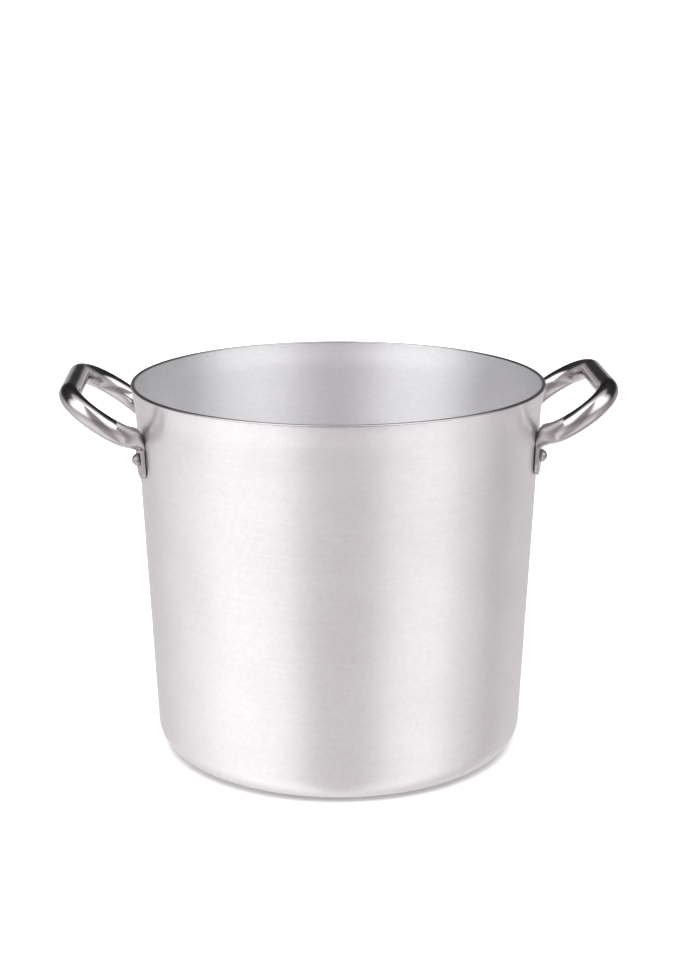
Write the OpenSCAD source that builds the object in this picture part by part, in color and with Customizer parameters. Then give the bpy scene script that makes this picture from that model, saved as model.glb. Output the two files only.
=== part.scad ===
// Tall aluminium stock pot with two riveted tubular loop handles.
// Millimetres. The centre of the base's underside is the origin, +Z is up,
// and the handles lie on the X axis. The front is -Y.

/* [Pot body] */
// Inside diameter at the top of the straight wall
inner_d = 280; // [240:5:340]
// Height from the underside to the rim
pot_h = 265; // [220:5:340]
// Wall thickness, measured level
wall_t = 3; // [2.5:0.25:4]
// Base thickness
base_t = 4; // [3:0.5:6]
// Growth of the wall's radius for each millimetre of height
wall_slope = 0.048; // [0:0.004:0.08]
// Outside radius of the corner between base and wall
corner_r = 19; // [10:1:28]

/* [Rim] */
// Distance that the rim turns out past the straight wall
flare = 2; // [1:0.2:5]
// Height over which the rim turns out
flare_h = 19; // [12:1:19]
// Radius of the two rounded edges of the rim
rim_edge_r = 1.2; // [0.4:0.1:1.2]

/* [Handle loops] */
// Outside diameter of the tube
tube_d = 15; // [12:0.5:16]
// Wall thickness of the tube
tube_t = 1.2; // [0.8:0.1:2]
// Half of the loop's greatest width, to the tube's centre
loop_half_w = 60; // [57:1:64]
// Reach of the loop from the wall in its own plane, to the tube's centre
loop_reach = 51; // [48:1:56]
// Bend radius of the loop's corners, to the tube's centre
loop_bend_r = 29; // [26:1:32]
// Tilt of the loop's plane above level
loop_tilt = 33.5; // [28:0.5:38]
// Depth below the rim at which the loop's plane meets the wall
loop_drop = 30; // [28:1:36]

/* [Handle lugs] */
// Width of a flattened end
lug_w = 21; // [18:1:24]
// Thickness of a flattened end
lug_t = 3.2; // [2:0.2:3.4]
// Distance of a lug's centre from the middle of its handle
lug_offset = 38; // [35:1:41]
// Depth of a lug's lower end below the rim
lug_end_drop = 61; // [57:1:66]
// Depth below the rim at which a lug starts to be flat
lug_flat_drop = 37; // [36:0.5:38]

/* [Rivets] */
// Depth of the rivets below the rim
rivet_drop = 47; // [45:0.5:49]
// Diameter of the hole for a rivet
rivet_hole_d = 5; // [4:0.5:6]
// Diameter of the domed head outside the pot
outer_head_d = 9; // [8:0.5:11]
// Height of the domed head outside the pot
outer_head_h = 4.4; // [2:0.2:4.4]
// Diameter of the low head inside the pot
inner_head_d = 13; // [9:0.5:15]
// Height of the low head inside the pot
inner_head_h = 1.8; // [1:0.2:3]

/* [Hidden] */

aluminium = "#cfcbcc";
stainless = "#9d999a";
rivet_metal = "#8d898a";

arc_steps = 10;
flare_steps = 8;
hull_fn = 32;
round_fn = 96;

// Pieces that lie on each other are this far apart.
contact_gap = 0.02;
// Cutters reach this far past what they cut.
cut_past = 5;
// Thickness of the thin slices that a hull is stretched between.
slice_t = 0.2;

top_r = inner_d / 2 + wall_t;
wall_lean = atan(wall_slope);
foot_r = top_r - wall_slope * pot_h;
flare_z = pot_h - flare_h;
loop_z = pot_h - loop_drop;
lug_end_z = pot_h - lug_end_drop;
lug_flat_z = pot_h - lug_flat_drop;
rivet_z = pot_h - rivet_drop;
lug_azimuth = asin(lug_offset / wall_r(rivet_z));

// Where the round tube ends and the flattening starts, in the loop's plane.
round_end_x = 10;
bend_x = loop_reach - loop_bend_r;
bend_y = loop_half_w - loop_bend_r;
bend_angle = 90 + asin((bend_x - round_end_x) / loop_bend_r);

// Section of the tube half way between round and flat.
half_flat_w = 19.5;
half_flat_t = 9.5;
half_flat_z = loop_z - 4;
half_flat_out = 0.8;
half_flat_turn = 45;
half_flat_azimuth = lug_azimuth + 3.2;

// The inner rivet head is lifted so that its flat seat clears the curved wall.
inner_head_lift = 0.2;
rivet_d = rivet_hole_d - 2 * contact_gap;

// Outside radius of the straight wall at a height.
function wall_r(z) = foot_r + wall_slope * z;

// Smooth step from 0 to 1.
function ease(t) = t * t * (3 - 2 * t);

// Outside radius with the turned-out rim.
function outer_r(z) = wall_r(z) + flare * ease(max(0, (z - flare_z) / flare_h));

function arc(centre, r, start, end) =
    [for (i = [0 : arc_steps])
        let (a = start + (end - start) * i / arc_steps)
        centre + r * [cos(a), sin(a)]];

// Points up the flared wall, at a level distance inside its outer face.
function flare_points(inset) =
    [for (i = [0 : flare_steps])
        let (z = flare_z + (flare_h - rim_edge_r) * i / flare_steps)
        [outer_r(z) - inset, z]];

function reversed(list) = [for (i = [len(list) - 1 : -1 : 0]) list[i]];

// Centre of the fillet between a floor and a leaning wall.
function fillet_centre(inset, floor_z, r) =
    [wall_r(floor_z + r) - inset - r / cos(wall_lean), floor_z + r];

function body_outline() =
    let (
        inner_corner_r = corner_r - wall_t,
        outer_corner = fillet_centre(0, 0, corner_r),
        inner_corner = fillet_centre(wall_t, base_t, inner_corner_r),
        edge_z = pot_h - rim_edge_r,
        outer_edge = [outer_r(edge_z) - rim_edge_r, edge_z],
        inner_edge = [outer_r(edge_z) - wall_t + rim_edge_r, edge_z]
    )
    concat(
        [[0, 0]],
        arc(outer_corner, corner_r, -90, -wall_lean),
        flare_points(0),
        arc(outer_edge, rim_edge_r, 10, 90),
        arc(inner_edge, rim_edge_r, 90, 170),
        reversed(flare_points(wall_t)),
        arc(inner_corner, inner_corner_r, -wall_lean, -90),
        [[0, base_t]]
    );

// Moves to a point on the wall: +X out of the wall, +Z up it.
module on_wall(azimuth, z) {
    rotate([0, 0, azimuth])
        translate([wall_r(z), 0, z])
            rotate([0, wall_lean, 0])
                children();
}

// Moves to the plane of the right handle's loop: +X out, +Y along the bar.
module in_loop_plane() {
    translate([wall_r(loop_z), 0, loop_z])
        rotate([0, -loop_tilt, 0])
            children();
}

// Moves into a corner of the loop, at the centre of its bend.
module in_corner(side) {
    mirror([0, side < 0 ? 1 : 0, 0])
        translate([bend_x, bend_y, 0])
            children();
}

// A corner, which carries on round until the tube is nearly at the wall.
module bend(side, d) {
    in_corner(side)
        rotate_extrude(angle = bend_angle, $fn = round_fn)
            translate([loop_bend_r, 0])
                circle(d = d, $fn = round_fn);
}

// The bent tube, or with a smaller diameter the space inside it.
module loop_tube(d) {
    translate([loop_reach, 0, 0])
        rotate([90, 0, 0])
            cylinder(h = 2 * bend_y, d = d, center = true, $fn = round_fn);
    for (side = [-1, 1])
        bend(side, d);
}

// A level slice of a rounded bar lying on the wall, for the hulls.
module flat_slice(width, thickness) {
    for (end = [-1, 1])
        translate([thickness / 2, end * (width - thickness) / 2, 0])
            cylinder(h = slice_t, d = thickness, $fn = hull_fn);
}

module half_flat_slice(side) {
    on_wall(side * half_flat_azimuth, half_flat_z)
        translate([half_flat_out, 0, 0])
            rotate([0, half_flat_turn, 0])
                flat_slice(half_flat_w, half_flat_t);
}

module round_slice(side) {
    in_loop_plane()
        in_corner(side)
            rotate([0, 0, bend_angle])
                translate([loop_bend_r, 0, 0])
                    rotate([90, 0, 0])
                        cylinder(h = slice_t, d = tube_d - slice_t, $fn = hull_fn);
}

module lug_slice(side) {
    on_wall(side * lug_azimuth, lug_flat_z)
        translate([contact_gap, 0, 0])
            flat_slice(lug_w, lug_t - contact_gap);
}

// The part of a leg that is pressed from round to flat as it turns down.
module pressed_neck(side) {
    hull() {
        round_slice(side);
        half_flat_slice(side);
    }
    hull() {
        half_flat_slice(side);
        lug_slice(side);
    }
}

// The shell that the lugs are cut from, lying on the outside of the wall.
module lug_shell() {
    low_z = lug_end_z - cut_past;
    high_z = lug_flat_z + slice_t;
    translate([0, 0, low_z])
        difference() {
            cylinder(h = high_z - low_z, r1 = wall_r(low_z) + lug_t,
                     r2 = wall_r(high_z) + lug_t, $fn = round_fn);
            translate([0, 0, -cut_past])
                cylinder(h = high_z - low_z + 2 * cut_past,
                         r1 = wall_r(low_z - cut_past) + contact_gap,
                         r2 = wall_r(high_z + cut_past) + contact_gap, $fn = round_fn);
        }
}

// A lug's outline, with a round lower end, pushed out through the shell.
module lug_cutter(side) {
    lug_length = lug_flat_z + slice_t - lug_end_z - lug_w / 2;
    rotate([0, 0, side * lug_azimuth])
        translate([top_r - cut_past * 4, 0, lug_end_z + lug_w / 2])
            rotate([90, 0, 90])
                linear_extrude(height = cut_past * 8) {
                    circle(d = lug_w, $fn = round_fn);
                    translate([-lug_w / 2, 0])
                        square([lug_w, lug_length]);
                }
}

module lug(side) {
    intersection() {
        lug_shell();
        lug_cutter(side);
    }
}

module rivet_hole(side) {
    on_wall(side * lug_azimuth, rivet_z)
        rotate([0, 90, 0])
            cylinder(h = 4 * cut_past, d = rivet_hole_d, center = true, $fn = round_fn);
}

// Half section of a domed head standing on its seat.
module head_outline(d, h) {
    dome_r = (d * d / 4 + h * h) / (2 * h);
    intersection() {
        translate([0, h - dome_r])
            circle(r = dome_r, $fn = round_fn);
        square([d / 2, h]);
    }
}

// One rivet, its shank along Z and its outer head's seat at Z = 0.
module rivet_along_z() {
    grip = wall_t + lug_t + inner_head_lift;
    rotate_extrude($fn = round_fn) {
        head_outline(outer_head_d, outer_head_h);
        translate([0, -grip])
            square([rivet_d / 2, grip + slice_t]);
        translate([0, -grip])
            mirror([0, 1])
                head_outline(inner_head_d, inner_head_h);
    }
}

module rivet(side) {
    color(rivet_metal)
        on_wall(side * lug_azimuth, rivet_z)
            translate([lug_t + contact_gap, 0, 0])
                rotate([0, 90, 0])
                    rivet_along_z();
}

module handle() {
    color(stainless)
        difference() {
            union() {
                in_loop_plane()
                    loop_tube(tube_d);
                for (side = [-1, 1]) {
                    pressed_neck(side);
                    lug(side);
                }
            }
            in_loop_plane()
                loop_tube(tube_d - 2 * tube_t);
            for (side = [-1, 1])
                rivet_hole(side);
        }
}

module other_side() {
    rotate([0, 0, 180])
        children();
}

module pot_body() {
    color(aluminium)
        difference() {
            rotate_extrude($fn = round_fn)
                polygon(body_outline());
            for (side = [-1, 1]) {
                rivet_hole(side);
                other_side()
                    rivet_hole(side);
            }
        }
}

pot_body();
other_side() handle();  // handle_left
handle();  // handle_right
other_side() rivet(1);  // rivet_left_front
other_side() rivet(-1);  // rivet_left_rear
rivet(-1);  // rivet_right_front
rivet(1);  // rivet_right_rear
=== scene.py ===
import math

import bpy
import numpy as np
from mathutils import Matrix, Vector, noise


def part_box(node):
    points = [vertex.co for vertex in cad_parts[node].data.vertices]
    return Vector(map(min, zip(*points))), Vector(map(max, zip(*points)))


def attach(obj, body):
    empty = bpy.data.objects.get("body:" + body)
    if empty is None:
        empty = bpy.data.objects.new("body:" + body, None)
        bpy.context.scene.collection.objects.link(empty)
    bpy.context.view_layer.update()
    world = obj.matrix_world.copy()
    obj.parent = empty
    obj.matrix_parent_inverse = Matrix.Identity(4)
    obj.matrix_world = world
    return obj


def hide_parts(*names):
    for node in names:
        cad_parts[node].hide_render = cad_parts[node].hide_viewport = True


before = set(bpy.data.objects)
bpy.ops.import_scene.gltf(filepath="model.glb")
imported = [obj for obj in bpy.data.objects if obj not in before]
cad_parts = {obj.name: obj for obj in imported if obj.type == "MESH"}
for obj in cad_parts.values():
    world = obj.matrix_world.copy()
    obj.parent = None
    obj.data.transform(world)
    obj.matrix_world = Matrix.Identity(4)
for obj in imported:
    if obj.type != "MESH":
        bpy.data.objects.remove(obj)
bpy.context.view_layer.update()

# ---------------------------------------------------------------- sizes, in metres

POT_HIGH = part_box("pot_body")[1]
RIM_R = POT_HIGH.x
POT_H = POT_HIGH.z

WALL_T = 0.003
BASE_T = 0.004
WALL_SLOPE = 0.048
CORNER_R = 0.019
FLARE = 0.002
FLARE_H = 0.019
RIM_EDGE_R = 0.0012

TUBE_R = 0.0075
LOOP_HALF_W = 0.060
LOOP_REACH = 0.051
LOOP_BEND_R = 0.029
LOOP_TILT = math.radians(33.5)
LOOP_Z = POT_H - 0.030
# How far out from the wall, in the loop's plane, its rounded corners end and the necks begin.
LOOP_ROUND_END = 0.010

# The lugs and the rivets' shanks are a little thinner than the CAD's, and stay inside them.
LUG_W = 0.021
LUG_T = 0.0031
LUG_OFFSET = 0.038
LUG_END_Z = POT_H - 0.061
LUG_FLAT_Z = POT_H - 0.037
RIVET_Z = POT_H - 0.047

OUTER_HEAD_R = 0.0045
OUTER_HEAD_H = 0.0044
INNER_HEAD_R = 0.0065
INNER_HEAD_H = 0.0018
SHANK_R = 0.0024

TOP_R = RIM_R - FLARE
FOOT_R = TOP_R - WALL_SLOPE * POT_H
WALL_LEAN = math.atan(WALL_SLOPE)


def wall_r(z):
    """Outside radius of the straight wall at a height."""
    return FOOT_R + WALL_SLOPE * z


LUG_AZIMUTH = math.asin(LUG_OFFSET / wall_r(RIVET_Z))

# ---------------------------------------------------------------- camera

# The camera stands in front of the pot, 2 degrees to its left, and looks down on it.
CAMERA_ELEVATION = math.radians(14.754)
CAMERA_TURN = math.radians(-2.0)
CAMERA_ROLL = math.radians(-0.115)
CAMERA_DISTANCE = 9.366 * TOP_R
CAMERA_TARGET = Vector((-0.0069 * TOP_R, 0.0, 1.3408 * TOP_R))
FOCAL_LENGTH_MM = 70.63
SENSOR_MM = 36.0
CLIP_END = 500.0


def make_camera():
    data = bpy.data.cameras.new("camera")
    data.sensor_fit = "VERTICAL"
    data.sensor_height = SENSOR_MM
    data.lens = FOCAL_LENGTH_MM
    data.clip_end = CLIP_END
    camera = bpy.data.objects.new("camera", data)
    bpy.context.scene.collection.objects.link(camera)
    level = math.cos(CAMERA_ELEVATION)
    back = Vector((math.sin(CAMERA_TURN) * level, -math.cos(CAMERA_TURN) * level,
                   math.sin(CAMERA_ELEVATION)))
    camera.location = CAMERA_TARGET + back * CAMERA_DISTANCE
    turn = back.to_track_quat("Z", "Y").to_matrix().to_4x4()
    roll = Matrix.Rotation(CAMERA_ROLL, 4, "Z")
    camera.matrix_world = Matrix.Translation(camera.location) @ turn @ roll
    bpy.context.scene.camera = camera


# ---------------------------------------------------------------- mesh helpers

ON_AXIS = 1e-9


def arc(centre, r, start, end, steps):
    """Points of an arc in the plane of radius and height, angles in degrees."""
    angles = np.radians(np.linspace(start, end, steps + 1))
    return [(centre[0] + r * math.cos(a), centre[1] + r * math.sin(a)) for a in angles]


def ease(t):
    """0 up to 0, 1 from 1 on, and a smooth rise between."""
    t = min(max(t, 0.0), 1.0)
    return t * t * (3 - 2 * t)


def mesh_object(name, points, faces, material, smooth=True):
    mesh = bpy.data.meshes.new(name)
    mesh.from_pydata([tuple(p) for p in points], [], faces)
    mesh.materials.append(material)
    for polygon in mesh.polygons:
        polygon.use_smooth = smooth
    mesh.validate()
    mesh.update()
    obj = bpy.data.objects.new(name, mesh)
    bpy.context.scene.collection.objects.link(obj)
    return obj


def lathe(outline, segments, shift):
    """Points and faces of a closed outline, from axis to axis, turned about Z.

    shift(r, z, angle) is added to the radius of each point that isn't on the axis.
    """
    points, rows = [], []
    for r, z in outline:
        if r < ON_AXIS:
            rows.append([len(points)])
            points.append(Vector((0, 0, z)))
            continue
        row = []
        for k in range(segments):
            a = 2 * math.pi * k / segments
            shifted = r + shift(r, z, a)
            row.append(len(points))
            points.append(Vector((shifted * math.cos(a), shifted * math.sin(a), z)))
        rows.append(row)
    faces = []
    for low, high in zip(rows, rows[1:]):
        for k in range(segments):
            n = (k + 1) % segments
            if len(low) == 1:
                faces.append((low[0], high[n], high[k]))
            elif len(high) == 1:
                faces.append((low[k], low[n], high[0]))
            else:
                faces.append((low[k], low[n], high[n], high[k]))
    return points, faces


# ---------------------------------------------------------------- materials

class Nodes:
    """A short way to write a material's or the world's nodes."""

    def __init__(self, tree):
        self.tree = tree

    def add(self, kind, **values):
        node = self.tree.nodes.new(kind)
        for key, value in values.items():
            setattr(node, key, value)
        return node

    def link(self, source, target):
        self.tree.links.new(source, target)

    def put(self, value, socket):
        if isinstance(value, bpy.types.NodeSocket):
            self.link(value, socket)
        else:
            socket.default_value = value

    def math(self, operation, a, b=0.0, clamp=False):
        node = self.add("ShaderNodeMath", operation=operation, use_clamp=clamp)
        self.put(a, node.inputs[0])
        self.put(b, node.inputs[1])
        return node.outputs[0]

    def noise(self, vector, scale, detail=2.0, roughness=0.5):
        node = self.add("ShaderNodeTexNoise")
        self.link(vector, node.inputs["Vector"])
        node.inputs["Scale"].default_value = scale
        node.inputs["Detail"].default_value = detail
        node.inputs["Roughness"].default_value = roughness
        return node.outputs["Fac"]

    def combine(self, x, y, z):
        node = self.add("ShaderNodeCombineXYZ")
        for value, socket in zip((x, y, z), node.inputs):
            self.put(value, socket)
        return node.outputs[0]

    def ramp(self, value, stops, interpolation="EASE"):
        node = self.add("ShaderNodeValToRGB")
        node.color_ramp.interpolation = interpolation
        elements = node.color_ramp.elements
        while len(elements) < len(stops):
            elements.new(0.5)
        for element, (position, colour) in zip(elements, stops):
            element.position = position
            element.color = (*colour, 1.0)
        self.put(value, node.inputs[0])
        return node.outputs[0]

    def mix(self, blend, factor, a, b):
        node = self.add("ShaderNodeMix", data_type="RGBA", blend_type=blend)
        self.put(factor, node.inputs["Factor"])
        self.link(a, node.inputs["A"])
        self.link(b, node.inputs["B"])
        return node.outputs["Result"]

    def spread(self, value, low, high):
        """Maps 0 to 1 onto low to high."""
        node = self.add("ShaderNodeMapRange")
        self.put(value, node.inputs["Value"])
        node.inputs["To Min"].default_value = low
        node.inputs["To Max"].default_value = high
        return node.outputs[0]

    def bump(self, height, strength, distance, normal=None):
        node = self.add("ShaderNodeBump")
        node.inputs["Strength"].default_value = strength
        node.inputs["Distance"].default_value = distance
        self.link(height, node.inputs["Height"])
        if normal:
            self.link(normal, node.inputs["Normal"])
        return node.outputs[0]


def new_metal(name, metallic=1.0):
    material = bpy.data.materials.new(name)
    material.use_nodes = True
    shader = material.node_tree.nodes["Principled BSDF"]
    shader.inputs["Metallic"].default_value = metallic
    return material, Nodes(material.node_tree), shader


def grey(value, warm=0.0):
    """A grey, warmer by the share warm."""
    return (value * (1 + warm), value, value * (1 - warm * 0.5))


# Turned lines in the aluminium, in cycles per metre of radius and height, and how fast they
# change round the pot.
FINE_LINES = 2600.0
MEDIUM_LINES = 800.0
LINE_DRIFT = 9.0
# Scale of the cloudiness and of the fine mottle in the aluminium.
CLOUD = 18.0
MOTTLE = 320.0


def turned_aluminium(name, metallic, streak, rough, dark, light):
    """Satin aluminium, turned round the axis in fine circular lines.

    streak is how far reflections smear across the lines, rough the least and most roughness.
    """
    material, n, shader = new_metal(name, metallic)
    place = n.add("ShaderNodeTexCoord").outputs["Object"]
    split = n.add("ShaderNodeSeparateXYZ")
    n.link(place, split.inputs[0])
    x, y, z = split.outputs
    radius = n.math("SQRT", n.math("ADD", n.math("MULTIPLY", x, x), n.math("MULTIPLY", y, y)))
    along = n.math("ADD", radius, z)
    slow_x, slow_y = (n.math("MULTIPLY", axis, LINE_DRIFT) for axis in (x, y))

    def lines(per_metre):
        across = n.math("MULTIPLY", along, per_metre)
        return n.noise(n.combine(across, slow_x, slow_y), scale=1.0)

    fine, medium = lines(FINE_LINES), lines(MEDIUM_LINES)
    cloud = n.noise(place, CLOUD, detail=3.0)
    mottle = n.noise(place, MOTTLE, detail=3.0, roughness=0.65)

    tone = n.math("ADD", n.math("MULTIPLY", cloud, 0.35), n.math("MULTIPLY", mottle, 0.45))
    tone = n.math("ADD", tone, n.math("MULTIPLY", medium, 0.2))
    n.link(n.ramp(tone, [(0.3, dark), (0.7, light)]), shader.inputs["Base Color"])

    wear = n.math("ADD", n.math("MULTIPLY", fine, 0.3), n.math("MULTIPLY", mottle, 0.4))
    wear = n.math("ADD", wear, n.math("MULTIPLY", cloud, 0.3))
    n.link(n.spread(wear, *rough), shader.inputs["Roughness"])

    height = n.math("ADD", n.math("MULTIPLY", fine, 0.6), n.math("MULTIPLY", medium, 0.4))
    normal = n.bump(height, strength=0.18, distance=0.00005)
    normal = n.bump(mottle, strength=0.16, distance=0.00016, normal=normal)
    n.link(normal, shader.inputs["Normal"])

    shader.inputs["Anisotropic"].default_value = streak
    shader.inputs["Anisotropic Rotation"].default_value = 0.25
    tangent = n.add("ShaderNodeTangent", direction_type="RADIAL", axis="Z")
    n.link(tangent.outputs[0], shader.inputs["Tangent"])
    return material


def outside_aluminium():
    return turned_aluminium("turned_aluminium", metallic=0.86, streak=0.72, rough=(0.26, 0.42),
                            dark=(0.80, 0.775, 0.787), light=(0.885, 0.87, 0.878))


def inside_aluminium_painted_light():
    """The inside, with broader lines that spread its reflections further up and down. Its colour,
    lighter than the outside's, is painted light that brightens the inside.
    """
    return turned_aluminium("turned_aluminium_inside_painted_light", metallic=0.80, streak=0.90,
                            rough=(0.50, 0.60),
                            # These greys, lighter than the outside's, are painted light for the
                            # bright inside.
                            dark=(0.865, 0.855, 0.872), light=(0.945, 0.94, 0.952))


def rim_aluminium_painted_shade():
    """The edge of the rim, worn smooth. Its darker colour is painted shade: the dark reflection
    along the rounded lip.
    """
    return turned_aluminium("turned_aluminium_rim_painted_shade", metallic=1.0, streak=0.3,
                            rough=(0.28, 0.40),
                            # These greys, darker than the outside's, are painted shade along the
                            # lip.
                            dark=(0.50, 0.475, 0.49), light=(0.60, 0.575, 0.59))


def polished_stainless():
    """Polished stainless tube, with fine scratches and finger smears."""
    material, n, shader = new_metal("polished_stainless")
    place = n.add("ShaderNodeTexCoord").outputs["Object"]
    stretch = n.add("ShaderNodeMapping")
    stretch.inputs["Scale"].default_value = (3.0, 1.0, 3.0)
    n.link(place, stretch.inputs[0])
    scratch = n.noise(stretch.outputs[0], scale=900.0, detail=3.0, roughness=0.7)
    smear = n.noise(place, scale=45.0, detail=3.0, roughness=0.6)
    colour = n.ramp(smear, [(0.3, (0.52, 0.485, 0.50)), (0.7, (0.60, 0.57, 0.58))])
    n.link(colour, shader.inputs["Base Color"])
    rough = n.math("ADD", n.math("MULTIPLY", scratch, 0.5), n.math("MULTIPLY", smear, 0.5))
    n.link(n.spread(rough, 0.05, 0.13), shader.inputs["Roughness"])
    normal = n.bump(scratch, strength=0.12, distance=0.00004)
    normal = n.bump(smear, strength=0.10, distance=0.0004, normal=normal)
    n.link(normal, shader.inputs["Normal"])
    return material


def rivet_aluminium():
    """Dull aluminium with hammer marks."""
    material, n, shader = new_metal("rivet_aluminium")
    place = n.add("ShaderNodeTexCoord").outputs["Object"]
    dents = n.noise(place, scale=420.0)
    grain = n.noise(place, scale=2400.0, detail=3.0, roughness=0.6)
    colour = n.ramp(dents, [(0.35, grey(0.38, 0.02)), (0.65, grey(0.56, 0.01))])
    n.link(colour, shader.inputs["Base Color"])
    n.link(n.spread(grain, 0.28, 0.46), shader.inputs["Roughness"])
    normal = n.bump(dents, strength=0.4, distance=0.0003)
    normal = n.bump(grain, strength=0.2, distance=0.00005, normal=normal)
    n.link(normal, shader.inputs["Normal"])
    return material


# ---------------------------------------------------------------- pot body

BODY_SEGMENTS = 360
WALL_STEPS = 60
FLOOR_RINGS = 24
CORNER_STEPS = 24
INNER_CORNER_STEPS = 20
EDGE_STEPS = 8
# The two round edges of the rim start this many degrees above level.
EDGE_START = 6
# Rows of faces of the body, from the middle of its underside, in its outside and its rim.
OUTSIDE_ROWS = FLOOR_RINGS + CORNER_STEPS + WALL_STEPS
RIM_ROWS = 2 * EDGE_STEPS + 2
SPIN_WOBBLE = 0.00006
WOBBLE_ROUND = 1.4
WOBBLE_UP = 9.0


def fillet_centre(inset, floor_z, r):
    """Centre of the arc that joins a floor to the wall, inset from its outside."""
    return wall_r(floor_z + r) - inset - r / math.cos(WALL_LEAN), floor_z + r


def outer_r(z):
    """Outside radius of the wall at a height, with the flare under the rim."""
    flare_z = POT_H - FLARE_H
    return wall_r(z) + FLARE * ease((z - flare_z) / FLARE_H)


def wall_line(inset, low_z, high_z, steps):
    return [(outer_r(z) - inset, z) for z in np.linspace(low_z, high_z, steps + 1)]


def floor_line(r, z, steps):
    return [(r * k / steps, z) for k in range(steps + 1)]


def body_outline():
    """Radius and height from the middle of the underside, round the rim, to the floor's middle."""
    inner_corner_r = CORNER_R - WALL_T
    outer_corner = fillet_centre(0.0, 0.0, CORNER_R)
    inner_corner = fillet_centre(WALL_T, BASE_T, inner_corner_r)
    lean = math.degrees(WALL_LEAN)
    edge_z = POT_H - RIM_EDGE_R
    edge_r = outer_r(edge_z)
    outer_edge = (edge_r - RIM_EDGE_R, edge_z)
    inner_edge = (edge_r - WALL_T + RIM_EDGE_R, edge_z)
    outline = floor_line(outer_corner[0], 0.0, FLOOR_RINGS)[:-1]
    outline += arc(outer_corner, CORNER_R, -90, -lean, CORNER_STEPS)
    outline += wall_line(0.0, outer_corner[1], edge_z, WALL_STEPS)[1:]
    outline += arc(outer_edge, RIM_EDGE_R, EDGE_START, 90, EDGE_STEPS)
    outline += arc(inner_edge, RIM_EDGE_R, 90, 180 - EDGE_START, EDGE_STEPS)
    outline += wall_line(WALL_T, inner_corner[1], edge_z, WALL_STEPS)[::-1][:-1]
    outline += arc(inner_corner, inner_corner_r, -lean, -90, INNER_CORNER_STEPS)
    outline += floor_line(inner_corner[0], BASE_T, FLOOR_RINGS)[::-1][1:]
    return outline


def spin_wobble(r, z, angle):
    """The faint unevenness that spinning leaves in a wall, always inwards."""
    place = Vector((WOBBLE_ROUND * math.cos(angle), WOBBLE_ROUND * math.sin(angle),
                    WOBBLE_UP * z))
    return SPIN_WOBBLE * (noise.noise(place) - 1.0)


def make_body(outside, rim, inside):
    points, faces = lathe(body_outline(), BODY_SEGMENTS, spin_wobble)
    body = mesh_object("pot_body_turned", points, faces, outside)
    body.data.materials.append(rim)
    body.data.materials.append(inside)
    rim_start = BODY_SEGMENTS * OUTSIDE_ROWS
    rim_end = rim_start + BODY_SEGMENTS * RIM_ROWS
    for index, polygon in enumerate(body.data.polygons):
        polygon.material_index = int(index >= rim_start) + int(index >= rim_end)
    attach(body, "root")
    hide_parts("pot_body")


# ---------------------------------------------------------------- handles

SECTION_POINTS = 40
PATH_STEP = 0.0009
LUG_LENGTH = LUG_FLAT_Z - LUG_END_Z
# The tube flattens over this length, which starts a little inside the lug.
FLATTEN_LENGTH = 0.019
FLATTEN_OVERLAP = 0.002
# The lug's end is round. The least share of its width, squared, keeps the mesh from closing to
# a point, and the very tip is thinner by the share TIP_THINNING.
TIP_LEAST = 0.004
TIP_THINNING = 0.45
TIP_POWER = 8
# The tube's section has power 2, an ellipse, and the lug's has this much more.
LUG_SQUARENESS = 2.5
# How far the neck's curve is drawn out along the lug and along the loop's leg.
NECK_PULL = 0.008
LEG_PULL = 0.014
NECK_STEPS = 26
# The folds in the neck are evened out over its length, in this many passes.
NECK_FADE = 0.003
NECK_LENGTH = 0.016
NECK_PASSES = 40
# The groove along a lug's edge, where the tube's two walls are pressed together.
SEAM_DEPTH = 0.00035
SEAM_WIDTH = 0.22
# The shallow dent under each rivet's head.
SEAT_R = 0.0072
SEAT_DEPTH = 0.00025
SEAT_FADE = 0.002


def on_wall(side, z, out):
    """A point near the wall at a lug's azimuth, out past the wall along its normal."""
    azimuth = side * LUG_AZIMUTH
    r = wall_r(z) + out * math.cos(WALL_LEAN)
    height = z - out * math.sin(WALL_LEAN)
    return Vector((r * math.cos(azimuth), r * math.sin(azimuth), height))


def in_loop(x, y):
    """A point in the plane of the right handle's loop."""
    out, up = x * math.cos(LOOP_TILT), x * math.sin(LOOP_TILT)
    return Vector((wall_r(LOOP_Z) + out, y, LOOP_Z + up))


def bezier(a, b, c, d, steps):
    result = []
    for k in range(steps + 1):
        t = k / steps
        s = 1 - t
        result.append(a * s ** 3 + b * 3 * s * s * t + c * 3 * s * t * t + d * t ** 3)
    return result


def handle_path():
    """The centreline from the front lug's tip round to the rear one, for the right handle."""
    bend_x, bend_y = LOOP_REACH - LOOP_BEND_R, LOOP_HALF_W - LOOP_BEND_R
    end_angle = math.radians(90) + math.asin((bend_x - LOOP_ROUND_END) / LOOP_BEND_R)
    half = LUG_T / 2
    tip, flat = on_wall(1, LUG_END_Z, half), on_wall(1, LUG_FLAT_Z, half)
    up = (flat - tip).normalized()
    steps = round((flat - tip).length / PATH_STEP)
    path = [tip.lerp(flat, k / steps) for k in range(steps)]

    corner = []
    arc_steps = round(LOOP_BEND_R * end_angle / PATH_STEP)
    for k in range(arc_steps + 1):
        a = end_angle * (1 - k / arc_steps)
        x, y = bend_x + LOOP_BEND_R * math.cos(a), bend_y + LOOP_BEND_R * math.sin(a)
        corner.append(in_loop(x, y))
    leg = (corner[1] - corner[0]).normalized()
    lug_pull, leg_pull = flat + up * NECK_PULL, corner[0] - leg * LEG_PULL
    path += bezier(flat, lug_pull, leg_pull, corner[0], NECK_STEPS)[:-1]
    path += corner
    bar_steps = round(bend_y / PATH_STEP)
    path += [in_loop(LOOP_REACH, bend_y * (1 - k / bar_steps)) for k in range(1, bar_steps + 1)]
    other = [Vector((p.x, -p.y, p.z)) for p in path[:-1]]
    return path + other[::-1]


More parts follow.
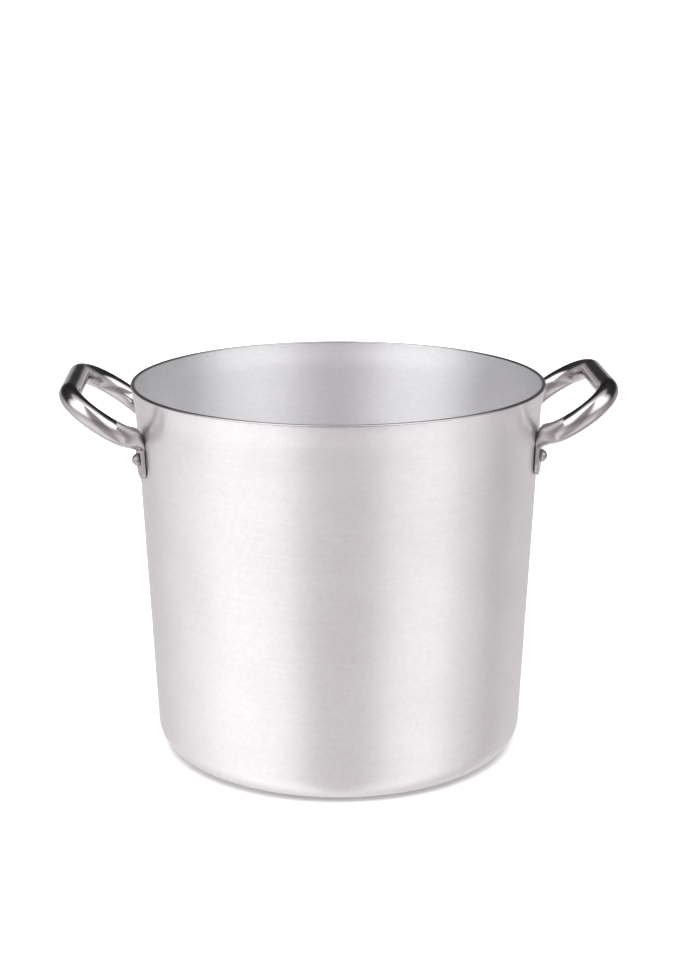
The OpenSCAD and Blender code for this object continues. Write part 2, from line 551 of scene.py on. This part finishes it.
def flatness(distance):
    """1 on a lug, 0 on the round tube, from the distance along the path to the nearest tip."""
    return 1 - ease((distance - LUG_LENGTH + FLATTEN_OVERLAP) / FLATTEN_LENGTH)


def section(distance):
    """Half width, half thickness, squareness and flatness at a distance from the tip."""
    flat = flatness(distance)
    half_w = TUBE_R + (LUG_W / 2 - TUBE_R) * flat
    half_t = TUBE_R + (LUG_T / 2 - TUBE_R) * flat
    if distance < LUG_W / 2:
        to_tip = 1 - distance / (LUG_W / 2)
        half_w = math.sqrt(max(1 - to_tip ** 2, TIP_LEAST)) * LUG_W / 2
        half_t *= 1 - TIP_THINNING * to_tip ** TIP_POWER
    return half_w, half_t, 2 + LUG_SQUARENESS * flat ** 2, flat


def signed_power(value, power):
    return math.copysign(abs(value) ** power, value)


def ease_necks(points, ends):
    """Evens out the folds where the tube turns down into its lugs."""
    grid = np.array([tuple(p) for p in points]).reshape(len(ends), SECTION_POINTS, 3)
    neck_end = LUG_LENGTH + NECK_LENGTH
    share = [ease((d - LUG_LENGTH) / NECK_FADE + 1) * ease((neck_end - d) / NECK_FADE)
             for d in ends]
    share = np.array(share)[1:-1, None, None]
    for _ in range(NECK_PASSES):
        middle = (grid[:-2] + grid[2:]) / 2
        grid[1:-1] += 0.5 * share * (middle - grid[1:-1])
    return [Vector(p) for p in grid.reshape(-1, 3)]


def to_nearest_end(path):
    """Distance along the path from each of its points to the nearer end."""
    lengths = [0.0]
    for a, b in zip(path, path[1:]):
        lengths.append(lengths[-1] + (b - a).length)
    return [min(length, lengths[-1] - length) for length in lengths]


def path_frames(path):
    """Tangent and normal at each point, turned along the path with no twist of its own."""
    tangents = []
    for k in range(len(path)):
        ahead, behind = path[min(k + 1, len(path) - 1)], path[max(k - 1, 0)]
        tangents.append((ahead - behind).normalized())
    azimuth = Vector((math.cos(LUG_AZIMUTH), math.sin(LUG_AZIMUTH), 0))
    normals = [(azimuth - tangents[0] * azimuth.dot(tangents[0])).normalized()]
    for a, b in zip(tangents, tangents[1:]):
        normals.append(a.rotation_difference(b) @ normals[-1])
    return zip(tangents, normals)


def dented(point, seats):
    """The point, pressed in if it lies under the head of a rivet on one of the seats."""
    for seat in seats:
        near = (point - seat).length
        if near < SEAT_R:
            inwards = Vector((-seat.x, -seat.y, 0)).normalized()
            point = point + inwards * SEAT_DEPTH * ease((SEAT_R - near) / SEAT_FADE)
    return point


def handle_mesh():
    """The right handle: a tube swept along its path, flattened at both ends."""
    path = handle_path()
    ends = to_nearest_end(path)
    seats = [on_wall(side, RIVET_Z, LUG_T) for side in (1, -1)]
    points = []
    for centre, distance, (tangent, normal) in zip(path, ends, path_frames(path)):
        half_w, half_t, power, flat = section(distance)
        across = tangent.cross(normal)
        for j in range(SECTION_POINTS):
            a = 2 * math.pi * j / SECTION_POINTS
            u = signed_power(math.cos(a), 2 / power) * half_w
            v = signed_power(math.sin(a), 2 / power) * half_t
            seam = flat * SEAM_DEPTH * math.exp(-(math.sin(a) / SEAM_WIDTH) ** 2)
            u -= math.copysign(seam, u)
            points.append(dented(centre + across * u + normal * v, seats))
    points = ease_necks(points, ends)
    rows = [range(k * SECTION_POINTS, (k + 1) * SECTION_POINTS) for k in range(len(path))]
    faces = []
    for low, high in zip(rows, rows[1:]):
        for j in range(SECTION_POINTS):
            n = (j + 1) % SECTION_POINTS
            faces.append((low[j], low[n], high[n], high[j]))
    faces.append(tuple(rows[0][::-1]))
    faces.append(tuple(rows[-1]))
    return points, faces


def half_turn(points):
    """The same points, turned half round the pot, for the left side."""
    return [Vector((-p.x, -p.y, p.z)) for p in points]


def make_handles(material):
    points, faces = handle_mesh()
    for node, place in (("handle_right", points), ("handle_left", half_turn(points))):
        handle = mesh_object(node + "_pressed_tube", place, faces, material)
        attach(handle, "root")
        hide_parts(node)


# ---------------------------------------------------------------- rivets

RIVET_SEGMENTS = 48
OUTER_DOME_STEPS = 14
INNER_DOME_STEPS = 10
# The upright edge of a head as a share of its height, and how far it tucks in underneath.
HEAD_EDGE = 0.22
HEAD_UNDERCUT = 0.97
# The hammer's marks: depth, marks per metre, bias inwards and distance between two rivets' marks.
HAMMER_DEPTH = 0.00012
HAMMER_SCALE = 260
HAMMER_BIAS = 0.6
HAMMER_SHIFT = 7.3
SEAT_GAP = 0.0002


def dome(r, h, steps):
    """Half outline of a domed head from its edge to its crown, with a short upright edge."""
    edge = HEAD_EDGE * h
    ball_r = (r * r + (h - edge) ** 2) / (2 * (h - edge))
    base = h - ball_r
    angles = np.linspace(math.asin((edge - base) / ball_r), math.pi / 2, steps + 1)
    crown = [(ball_r * math.cos(a), base + ball_r * math.sin(a)) for a in angles]
    return [(HEAD_UNDERCUT * r, 0.0), (r, 0.3 * edge)] + crown


def rivet_outline():
    """Radius and height from the inner head's crown to the outer one's, seated at height 0."""
    grip = WALL_T + LUG_T + SEAT_GAP
    outer = dome(OUTER_HEAD_R, OUTER_HEAD_H, OUTER_DOME_STEPS)
    inner = dome(INNER_HEAD_R, INNER_HEAD_H, INNER_DOME_STEPS)
    outer[-1], inner[-1] = (0.0, OUTER_HEAD_H), (0.0, INNER_HEAD_H)
    low = [(r, -grip - z) for r, z in inner[::-1]]
    return low + [(SHANK_R, -grip), (SHANK_R, 0.0)] + outer


def make_rivet(name, side, left, seed, material):
    """side is the lug's side of the right handle: 1 is the rear one there, -1 the front one."""
    def hammered(r, z, angle):
        place = Vector((r * HAMMER_SCALE * math.cos(angle), r * HAMMER_SCALE * math.sin(angle),
                        z * HAMMER_SCALE + seed * HAMMER_SHIFT))
        return HAMMER_DEPTH * (noise.noise(place) - HAMMER_BIAS) * min(1.0, r / SHANK_R)

    points, faces = lathe(rivet_outline(), RIVET_SEGMENTS, hammered)
    seat = on_wall(side, RIVET_Z, LUG_T)
    turn = Matrix.Rotation(side * LUG_AZIMUTH, 4, "Z") @ Matrix.Rotation(
        math.radians(90) + WALL_LEAN, 4, "Y")
    place = Matrix.Translation(seat) @ turn
    points = [place @ p for p in points]
    if left:
        points = half_turn(points)
    rivet = mesh_object(name + "_hammered", points, faces, material)
    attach(rivet, "root")
    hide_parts(name)


def make_rivets(material):
    rivets = [("rivet_right_rear", 1, False), ("rivet_right_front", -1, False),
              ("rivet_left_front", 1, True), ("rivet_left_rear", -1, True)]
    for seed, (name, side, left) in enumerate(rivets):
        make_rivet(name, side, left, seed, material)


# ---------------------------------------------------------------- floor and light

FLOOR_HALF_WIDTH = 120.0
FLOOR_TONE = 0.93
# The floor lies just under the pot, so that the two surfaces don't flicker.
FLOOR_Z = -0.0001


def make_floor():
    material = bpy.data.materials.new("pale_floor")
    material.use_nodes = True
    shader = material.node_tree.nodes["Principled BSDF"]
    shader.inputs["Base Color"].default_value = (FLOOR_TONE, FLOOR_TONE, FLOOR_TONE, 1.0)
    shader.inputs["Roughness"].default_value = 0.9
    shader.inputs["Specular IOR Level"].default_value = 0.0
    w = FLOOR_HALF_WIDTH
    corners = [(-w, -w, 0), (w, -w, 0), (w, w, 0), (-w, w, 0)]
    floor = mesh_object("floor", corners, [(0, 1, 2, 3)], material, smooth=False)
    floor.location.z = FLOOR_Z
    floor.visible_glossy = False


# Brightness of the soft studio surround by compass direction: degrees to the right of the
# front, and brightness. SURROUND is for level directions and SURROUND_HIGH for upward ones.
SURROUND = [(-180, 0.80), (-140, 0.62), (-105, 0.84), (-70, 1.04), (-40, 0.97), (-12, 0.49),
            (12, 0.46), (38, 0.83), (58, 0.93), (80, 0.64), (104, 0.40), (130, 0.58), (180, 0.80)]
SURROUND_HIGH = [(-180, 0.80), (-140, 1.00), (-100, 1.65), (-70, 1.80), (-40, 1.65), (-14, 0.34),
                 (12, 0.32), (36, 1.45), (60, 1.65), (90, 1.50), (140, 1.00), (180, 0.80)]
# Brightness factor by height, in front of the pot and behind it: sine of the elevation, and
# factor. The dark part behind gives the top of the handles their dark reflections.
HEIGHT_FRONT = [(-1.0, 1.22), (-0.48, 1.18), (-0.3, 0.90), (-0.15, 0.80), (0.0, 0.77),
                (0.12, 0.62), (0.3, 1.0), (0.6, 1.3), (1.0, 1.4)]
HEIGHT_BACK = [(-1.0, 1.22), (-0.48, 1.18), (-0.3, 0.93), (-0.1, 0.86), (0.08, 0.55),
               (0.2, 0.06), (0.5, 0.03), (0.8, 0.06), (0.94, 0.8), (1.0, 1.4)]
# How quickly the front gives way to the back.
FRONT_BACK_BLEND = 3.0
# Where SURROUND starts to give way to SURROUND_HIGH, as a sine of the elevation, and how
# quickly it does.
HIGH_START = 0.08
HIGH_BLEND = 4.0
# How far a dark grey of the surround leans to rose.
ROSE = 0.06


def rosy(value):
    """A grey that turns slightly rosy where it is darker."""
    depth = max(0.0, 1.0 - value)
    return value * (1 + ROSE * depth), value * (1 - ROSE * depth), value


def make_world():
    world = bpy.data.worlds.new("studio")
    bpy.context.scene.world = world
    world.use_nodes = True
    n = Nodes(world.node_tree)
    background = world.node_tree.nodes["Background"]
    split = n.add("ShaderNodeSeparateXYZ")
    n.link(n.add("ShaderNodeTexCoord").outputs["Generated"], split.inputs[0])
    x, y, z = split.outputs
    compass = n.math("ARCTAN2", x, n.math("MULTIPLY", y, -1.0))
    turn = n.math("ADD", n.math("DIVIDE", compass, 2 * math.pi), 0.5)
    low, high = (n.ramp(turn, [((a + 180) / 360, rosy(v)) for a, v in stops])
                 for stops in (SURROUND, SURROUND_HIGH))
    upward = n.math("MULTIPLY", n.math("SUBTRACT", z, HIGH_START), HIGH_BLEND, clamp=True)
    around = n.mix("MIX", upward, low, high)
    level = n.math("ADD", n.math("MULTIPLY", z, 0.5), 0.5)
    front, back = (n.ramp(level, [((h + 1) / 2, grey(v)) for h, v in stops])
                   for stops in (HEIGHT_FRONT, HEIGHT_BACK))
    behind = n.math("ADD", n.math("MULTIPLY", y, FRONT_BACK_BLEND), 0.5, clamp=True)
    up = n.mix("MIX", behind, front, back)
    n.link(n.mix("MULTIPLY", 1.0, around, up), background.inputs["Color"])


SUN_ENERGY = 4.0
SUN_ANGLE = math.radians(70)
SUN_TILT = math.radians(8)


def make_sun():
    """A broad soft light from overhead, which lights the floor up to white."""
    data = bpy.data.lights.new("overhead", "SUN")
    data.energy = SUN_ENERGY
    data.angle = SUN_ANGLE
    sun = bpy.data.objects.new("overhead", data)
    sun.rotation_euler = (SUN_TILT, 0, 0)
    sun.visible_glossy = False
    bpy.context.scene.collection.objects.link(sun)


make_camera()
make_body(outside_aluminium(), rim_aluminium_painted_shade(), inside_aluminium_painted_light())
make_handles(polished_stainless())
make_rivets(rivet_aluminium())
make_floor()
make_world()
make_sun()
bpy.context.scene.view_settings.view_transform = "Standard"
